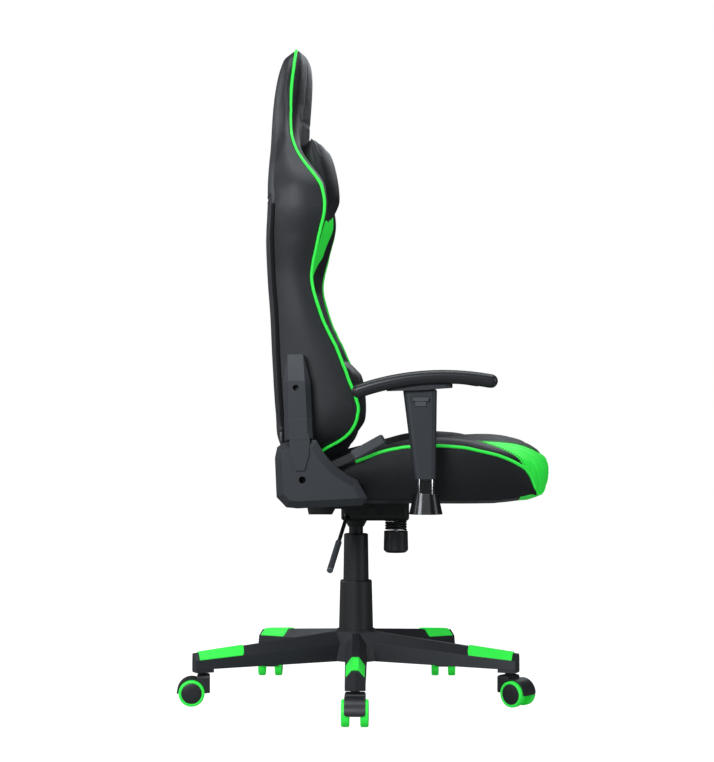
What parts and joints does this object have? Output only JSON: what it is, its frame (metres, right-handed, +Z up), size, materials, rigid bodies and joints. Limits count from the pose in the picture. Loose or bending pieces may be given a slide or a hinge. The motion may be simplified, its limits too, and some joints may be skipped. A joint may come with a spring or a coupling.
{
  "type": "gaming chair",
  "caption": "High-backed bucket gaming chair with a reclining back, height-adjustable armrests, neck and lumbar pillows, and a gas lift on a star base with twin-wheel casters.",
  "frame": {"origin": "on the floor, on the axis of the gas lift", "axes": "+Z up along the gas lift, +X the way a sitter faces, +Y to the sitter's left"},
  "size_m": [0.7219, 0.7165, 1.28],
  "materials": {
    "nylon_black": "moulded satin nylon",
    "plastic_black": "fine moulded texture",
    "gloss_black": "polished",
    "rubber_green": "bright green, lightly textured",
    "tread_green": "bright green tread with a black hub disc",
    "pad_black": "satin integral skin",
    "leather_black": "fine-grained black synthetic leather",
    "steel_black": "black powder coat",
    "steel_bright": "plain turned steel",
    "chrome": "polished chrome",
    "grip_grey": "grey plastic sleeve"
  },
  "bodies": {
    "base": {"star_base": "nylon_black", "leg_pads": "rubber_green", "stand_tube": "steel_black", "column_cover_lower": "plastic_black"},
    "gas_piston": {"piston_rod": "steel_bright"},
    "mechanism": {"pressure_tube": "steel_black", "column_cover_upper": "plastic_black", "mechanism_housing": "steel_black", "tilt_pin": "steel_black", "tension_spring": "steel_black"},
    "valve": {"valve_pin": "steel_bright"},
    "height_lever": {"height_lever": "steel_bright", "height_lever_grip": "grip_grey"},
    "seat": {"seat_plate": "steel_black", "tension_bolt": "steel_bright", "seat_frame": "steel_black", "seat_cushion": "leather_black", "seat_bolts": "steel_black", "seat_brackets": "steel_black", "recliner_pins": "steel_black", "lower_covers": "plastic_black", "arm_posts": "chrome", "arm_cups": "gloss_black"},
    "tension_knob": {"tension_knob": "plastic_black"},
    "recline_lever": {"recline_lever": "steel_black", "recline_grip": "plastic_black"},
    "back": {"back_cushion": "leather_black", "back_frame": "steel_black", "back_brackets": "steel_black", "upper_covers": "plastic_black", "neck_pillow": "leather_black", "lumbar_pillow": "leather_black"},
    "arm_right": {"arm_sleeve_right": "plastic_black", "pad_plate_right": "plastic_black", "arm_pad_right": "pad_black"},
    "arm_button_right": {"arm_button_right": "plastic_black"},
    "arm_left": {"arm_sleeve_left": "plastic_black", "pad_plate_left": "plastic_black", "arm_pad_left": "pad_black"},
    "arm_button_left": {"arm_button_left": "plastic_black"},
    "caster_1": {"caster_hood_1": "gloss_black", "caster_pins_1": "steel_bright"},
    "wheel_1_left": {"caster_wheel_1_left": "tread_green"},
    "wheel_1_right": {"caster_wheel_1_right": "tread_green"},
    "caster_2": {"caster_hood_2": "gloss_black", "caster_pins_2": "steel_bright"},
    "wheel_2_left": {"caster_wheel_2_left": "tread_green"},
    "wheel_2_right": {"caster_wheel_2_right": "tread_green"},
    "caster_3": {"caster_hood_3": "gloss_black", "caster_pins_3": "steel_bright"},
    "wheel_3_left": {"caster_wheel_3_left": "tread_green"},
    "wheel_3_right": {"caster_wheel_3_right": "tread_green"},
    "caster_4": {"caster_hood_4": "gloss_black", "caster_pins_4": "steel_bright"},
    "wheel_4_left": {"caster_wheel_4_left": "tread_green"},
    "wheel_4_right": {"caster_wheel_4_right": "tread_green"},
    "caster_5": {"caster_hood_5": "gloss_black", "caster_pins_5": "steel_bright"},
    "wheel_5_left": {"caster_wheel_5_left": "tread_green"},
    "wheel_5_right": {"caster_wheel_5_right": "tread_green"}
  },
  "joints": [
    {"name": "caster_1_swivel", "type": "hinge", "parent": "base", "child": "caster_1", "pos_m": [0.00545, -0.31195, 0], "axis": [0, 0, 1], "continuous": true},
    {"name": "wheel_1_left_roll", "type": "hinge", "parent": "caster_1", "child": "wheel_1_left", "pos_m": [0.00545, -0.33195, 0.025], "axis": [1, 0, 0], "continuous": true},
    {"name": "wheel_1_right_roll", "type": "hinge", "parent": "caster_1", "child": "wheel_1_right", "pos_m": [0.00545, -0.33195, 0.025], "axis": [1, 0, 0], "continuous": true},
    {"name": "caster_2_swivel", "type": "hinge", "parent": "base", "child": "caster_2", "pos_m": [0.29837, -0.09122, 0], "axis": [0, 0, 1], "continuous": true},
    {"name": "wheel_2_left_roll", "type": "hinge", "parent": "caster_2", "child": "wheel_2_left", "pos_m": [0.31369, -0.10408, 0.025], "axis": [0.6428, 0.766, 0], "continuous": true},
    {"name": "wheel_2_right_roll", "type": "hinge", "parent": "caster_2", "child": "wheel_2_right", "pos_m": [0.31369, -0.10408, 0.025], "axis": [0.6428, 0.766, 0], "continuous": true},
    {"name": "caster_3_swivel", "type": "hinge", "parent": "base", "child": "caster_3", "pos_m": [0.17896, 0.25557, 0], "axis": [0, 0, 1], "continuous": true},
    {"name": "wheel_3_left_roll", "type": "hinge", "parent": "caster_3", "child": "wheel_3_left", "pos_m": [0.17896, 0.27558, 0.025], "axis": [-1, 0, 0], "continuous": true},
    {"name": "wheel_3_right_roll", "type": "hinge", "parent": "caster_3", "child": "wheel_3_right", "pos_m": [0.17896, 0.27558, 0.025], "axis": [-1, 0, 0], "continuous": true},
    {"name": "caster_4_swivel", "type": "hinge", "parent": "base", "child": "caster_4", "pos_m": [-0.18777, 0.24917, 0], "axis": [0, 0, 1], "continuous": true},
    {"name": "wheel_4_left_roll", "type": "hinge", "parent": "caster_4", "child": "wheel_4_left", "pos_m": [-0.18777, 0.26917, 0.025], "axis": [-1, 0, 0], "continuous": true},
    {"name": "wheel_4_right_roll", "type": "hinge", "parent": "caster_4", "child": "wheel_4_right", "pos_m": [-0.18777, 0.26917, 0.025], "axis": [-1, 0, 0], "continuous": true},
    {"name": "caster_5_swivel", "type": "hinge", "parent": "base", "child": "caster_5", "pos_m": [-0.295, -0.10158, 0], "axis": [0, 0, 1], "continuous": true},
    {"name": "wheel_5_left_roll", "type": "hinge", "parent": "caster_5", "child": "wheel_5_left", "pos_m": [-0.31493, -0.10332, 0.025], "axis": [0.0872, -0.9962, 0], "continuous": true},
    {"name": "wheel_5_right_roll", "type": "hinge", "parent": "caster_5", "child": "wheel_5_right", "pos_m": [-0.31493, -0.10332, 0.025], "axis": [0.0872, -0.9962, 0], "continuous": true},
    {"name": "seat_swivel", "type": "hinge", "parent": "base", "child": "gas_piston", "pos_m": [0, 0, 0.08], "axis": [0, 0, 1], "continuous": true},
    {"name": "seat_height", "type": "slide", "parent": "gas_piston", "child": "mechanism", "axis": [0, 0, 1], "range_m": [-0.08, 0], "stiffness_N_per_m": 600, "springref_m": 0.55},
    {"name": "valve_press", "type": "slide", "parent": "mechanism", "child": "valve", "axis": [0, 0, -1], "range_m": [0, 0.0052]},
    {"name": "height_lever_lift", "type": "hinge", "parent": "mechanism", "child": "height_lever", "pos_m": [-0.016, -0.048, 0.364], "axis": [-1, 0, 0], "range_deg": [0, 6], "stiffness_Nm_per_rad": 5, "springref_deg": -11.46},
    {"name": "tilt", "type": "hinge", "parent": "mechanism", "child": "seat", "pos_m": [0.032, 0, 0.374], "axis": [0, -1, 0], "range_deg": [0, 12], "stiffness_Nm_per_rad": 120, "springref_deg": -8.59, "deforming": ["tension_spring"]},
    {"name": "tension_turn", "type": "hinge", "parent": "seat", "child": "tension_knob", "pos_m": [0.079, 0, 0.307], "axis": [0, 0, 1], "range_deg": [-720, 720]},
    {"name": "recline", "type": "hinge", "parent": "seat", "child": "back", "pos_m": [-0.092, 0, 0.444], "axis": [0, -1, 0], "range_deg": [0, 40]},
    {"name": "recline_lever_lift", "type": "hinge", "parent": "seat", "child": "recline_lever", "pos_m": [-0.092, -0.259, 0.444], "axis": [0, -1, 0], "range_deg": [0, 30], "stiffness_Nm_per_rad": 2, "springref_deg": -17.19},
    {"name": "arm_right_height", "type": "slide", "parent": "seat", "child": "arm_right", "axis": [0, 0, 1], "range_m": [-0.025, 0.05]},
    {"name": "arm_right_button_press", "type": "slide", "parent": "arm_right", "child": "arm_button_right", "axis": [0, 1, 0], "range_m": [0, 0.003], "stiffness_N_per_m": 400, "springref_m": -0.003},
    {"name": "arm_left_height", "type": "slide", "parent": "seat", "child": "arm_left", "axis": [0, 0, 1], "range_m": [-0.025, 0.05]},
    {"name": "arm_left_button_press", "type": "slide", "parent": "arm_left", "child": "arm_button_left", "axis": [0, -1, 0], "range_m": [0, 0.003], "stiffness_N_per_m": 400, "springref_m": -0.003}
  ],
  "couplings": [
    {"joint": "valve_press", "follows": "height_lever_lift", "m_per_rad": 0.048}
  ]
}
